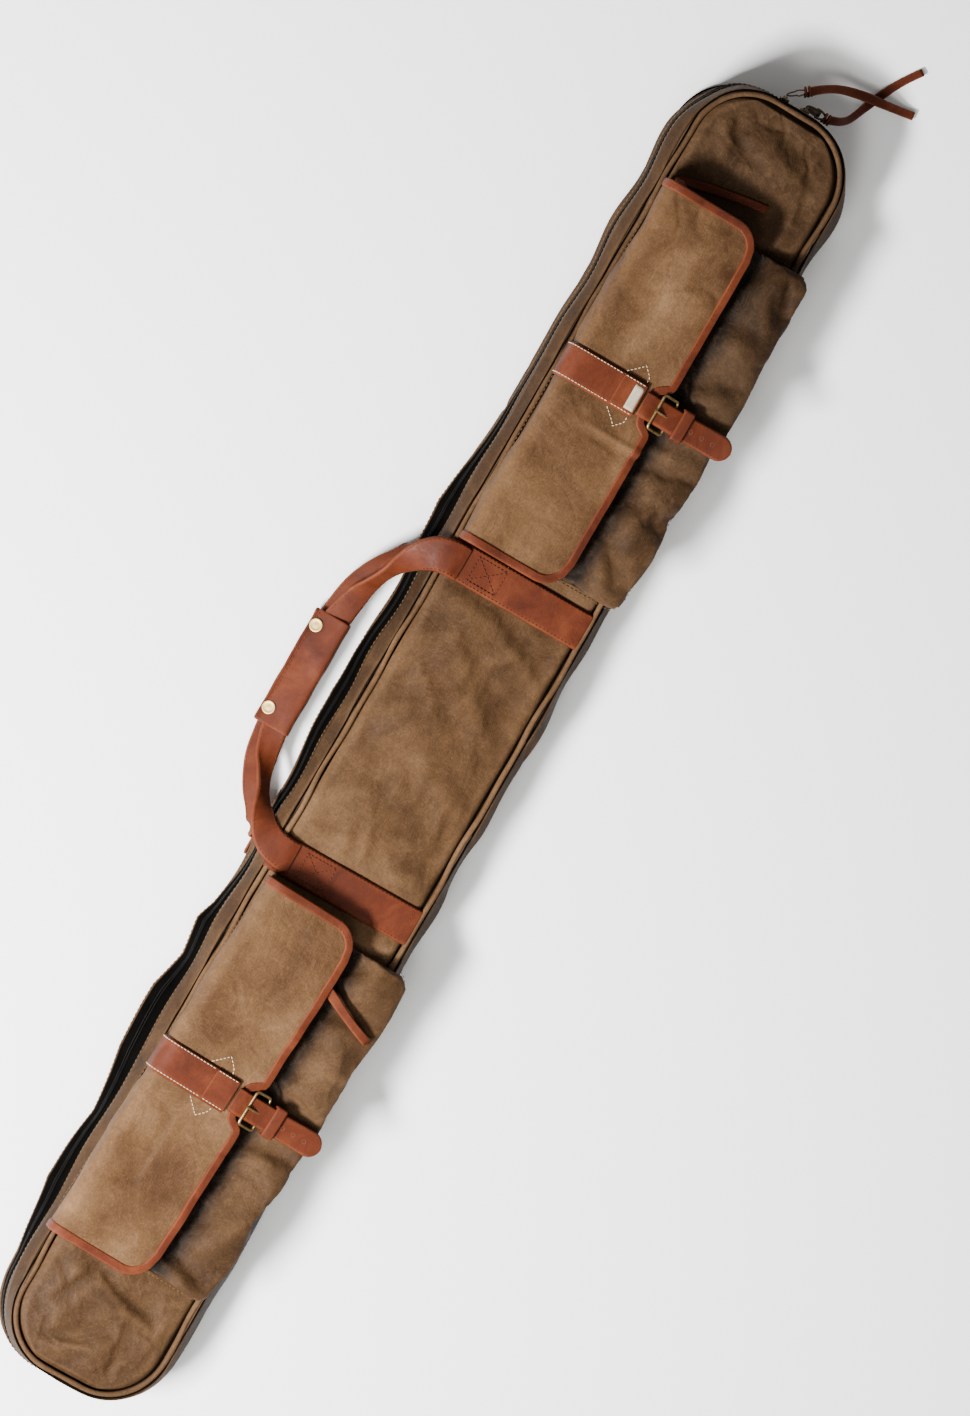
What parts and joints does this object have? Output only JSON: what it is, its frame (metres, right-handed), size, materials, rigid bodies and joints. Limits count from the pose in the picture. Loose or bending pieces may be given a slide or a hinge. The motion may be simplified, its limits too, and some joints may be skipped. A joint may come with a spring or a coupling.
{
  "type": "cue case",
  "caption": "Long padded soft case for billiard cues, zipped round three sides, with two buckled flap pockets, leather bands and a double carrying handle with a snap grip.",
  "frame": {"origin": "centre of the back panel's outer face, on the surface that the case lies on", "axes": "+X along the case, away from the end where the zip is opened; +Z out of the front panel; -Y towards the zip and the handle"},
  "size_m": [1.4293, 0.2614, 0.108],
  "materials": {
    "canvas": "waxed cotton canvas, matt",
    "foam": "closed-cell foam padding",
    "lining": "brushed cotton lining",
    "zip_tape": "woven zip tape",
    "zip_teeth": "moulded coil",
    "dark_metal": "gunmetal, worn",
    "antique_brass": "antique brass, satin",
    "snap_brass": "bright brass, polished",
    "leather": "oiled tan leather, satin"
  },
  "bodies": {
    "base": {"back_panel": "canvas", "back_piping": "canvas", "back_gusset": "canvas", "back_foam": "foam", "back_lining": "lining", "inner_divider": "foam", "zip_tape_lower": "zip_tape", "zip_teeth_lower": "zip_teeth", "hinge_gusset": "canvas", "zip_end_tabs": "canvas", "back_handle_band_upper": "leather", "back_handle_band_lower": "leather"},
    "lid": {"front_panel": "canvas", "front_piping": "canvas", "front_gusset": "canvas", "front_foam": "foam", "front_lining": "lining", "zip_tape_upper": "zip_tape", "zip_teeth_upper": "zip_teeth", "front_handle_band_upper": "leather", "front_handle_band_lower": "leather", "pocket_upper": "canvas", "pocket_lower": "canvas", "pocket_zip_upper": "zip_tape", "pocket_zip_lower": "zip_tape", "buckle_chape_upper": "leather", "buckle_chape_lower": "leather", "strap_keeper_upper": "leather", "strap_keeper_lower": "leather"},
    "flap_upper": {"flap_upper": "canvas", "flap_binding_upper": "leather", "flap_band_upper": "leather", "buckle_strap_upper": "leather"},
    "buckle_upper": {"buckle_frame_upper": "antique_brass"},
    "prong_upper": {"buckle_prong_upper": "antique_brass"},
    "pocket_slider_upper": {"pocket_slider_upper": "dark_metal", "pocket_thong_upper": "leather"},
    "flap_lower": {"flap_lower": "canvas", "flap_binding_lower": "leather", "flap_band_lower": "leather", "buckle_strap_lower": "leather"},
    "buckle_lower": {"buckle_frame_lower": "antique_brass"},
    "prong_lower": {"buckle_prong_lower": "antique_brass"},
    "pocket_slider_lower": {"pocket_slider_lower": "dark_metal", "pocket_thong_lower": "leather"},
    "zip_slider_long": {"zip_slider_long": "dark_metal"},
    "zip_puller_long": {"zip_puller_long": "dark_metal", "thong_long": "leather"},
    "zip_slider_short": {"zip_slider_short": "dark_metal"},
    "zip_puller_short": {"zip_puller_short": "dark_metal", "thong_short": "leather"},
    "handle_front": {"handle_loop_front": "leather"},
    "handle_back": {"handle_loop_back": "leather", "grip_wrap": "leather", "grip_snaps": "snap_brass"}
  },
  "joints": [
    {"name": "lid_hinge", "type": "hinge", "parent": "base", "child": "lid", "pos_m": [0, 0.092, 0.033], "axis": [-1, 0, 0], "range_deg": [0, 125], "deforming": ["hinge_gusset", "grip_wrap"]},
    {"name": "flap_upper_hinge", "type": "hinge", "parent": "lid", "child": "flap_upper", "pos_m": [-0.364, -0.0725, 0.0965], "axis": [1, 0, 0], "range_deg": [0, 175], "deforming": ["buckle_strap_upper"]},
    {"name": "buckle_upper_lift", "type": "hinge", "parent": "lid", "child": "buckle_upper", "pos_m": [-0.364, 0.0345, 0.0944], "axis": [-1, 0, 0], "range_deg": [0, 38]},
    {"name": "prong_upper_lift", "type": "hinge", "parent": "buckle_upper", "child": "prong_upper", "pos_m": [-0.364, 0.0345, 0.0944], "axis": [-1, 0, 0], "range_deg": [0, 36]},
    {"name": "pocket_zip_upper_slide", "type": "slide", "parent": "lid", "child": "pocket_slider_upper", "axis": [1, 0, 0], "range_m": [0, 0.285], "deforming": ["pocket_thong_upper"]},
    {"name": "flap_lower_hinge", "type": "hinge", "parent": "lid", "child": "flap_lower", "pos_m": [0.36084, -0.07743, 0.0965], "axis": [0.999, -0.0436, 0], "range_deg": [0, 175], "deforming": ["buckle_strap_lower"]},
    {"name": "buckle_lower_lift", "type": "hinge", "parent": "lid", "child": "buckle_lower", "pos_m": [0.36551, 0.02947, 0.0944], "axis": [-0.999, 0.0436, 0], "range_deg": [0, 38]},
    {"name": "prong_lower_lift", "type": "hinge", "parent": "buckle_lower", "child": "prong_lower", "pos_m": [0.36551, 0.02947, 0.0944], "axis": [-0.999, 0.0436, 0], "range_deg": [0, 36]},
    {"name": "pocket_zip_lower_slide", "type": "slide", "parent": "lid", "child": "pocket_slider_lower", "axis": [0.999, -0.0436, 0], "range_m": [0, 0.285], "deforming": ["pocket_thong_lower"]},
    {"name": "zip_slider_long_run", "type": "hinge", "parent": "base", "child": "zip_slider_long", "pos_m": [-0.5982, -0.0212, 0.033], "axis": [0, 0, 1], "range_deg": [0, 100]},
    {"name": "zip_slider_short_run", "type": "hinge", "parent": "base", "child": "zip_slider_short", "pos_m": [-0.5982, 0.0212, 0.033], "axis": [0, 0, -1], "range_deg": [0, 60]},
    {"name": "zip_puller_long_swing", "type": "hinge", "parent": "zip_slider_long", "child": "zip_puller_long", "pos_m": [-0.6753, -0.005, 0.033], "axis": [0, 0, 1], "range_deg": [-25, 120], "deforming": ["thong_long"]},
    {"name": "zip_puller_short_swing", "type": "hinge", "parent": "zip_slider_short", "child": "zip_puller_short", "pos_m": [-0.6753, 0.017, 0.033], "axis": [0, 0, 1], "range_deg": [0, 75], "deforming": ["thong_short"]},
    {"name": "handle_front_swing", "type": "hinge", "parent": "lid", "child": "handle_front", "pos_m": [0, -0.097, 0.03], "axis": [-1, 0, 0], "range_deg": [0, 75]},
    {"name": "handle_back_swing", "type": "hinge", "parent": "base", "child": "handle_back", "pos_m": [0, -0.097, 0.03], "axis": [-1, 0, 0], "range_deg": [0, 75]}
  ],
  "couplings": [
    {"joint": "handle_front_swing", "follows": "handle_back_swing", "ratio": 1}
  ]
}
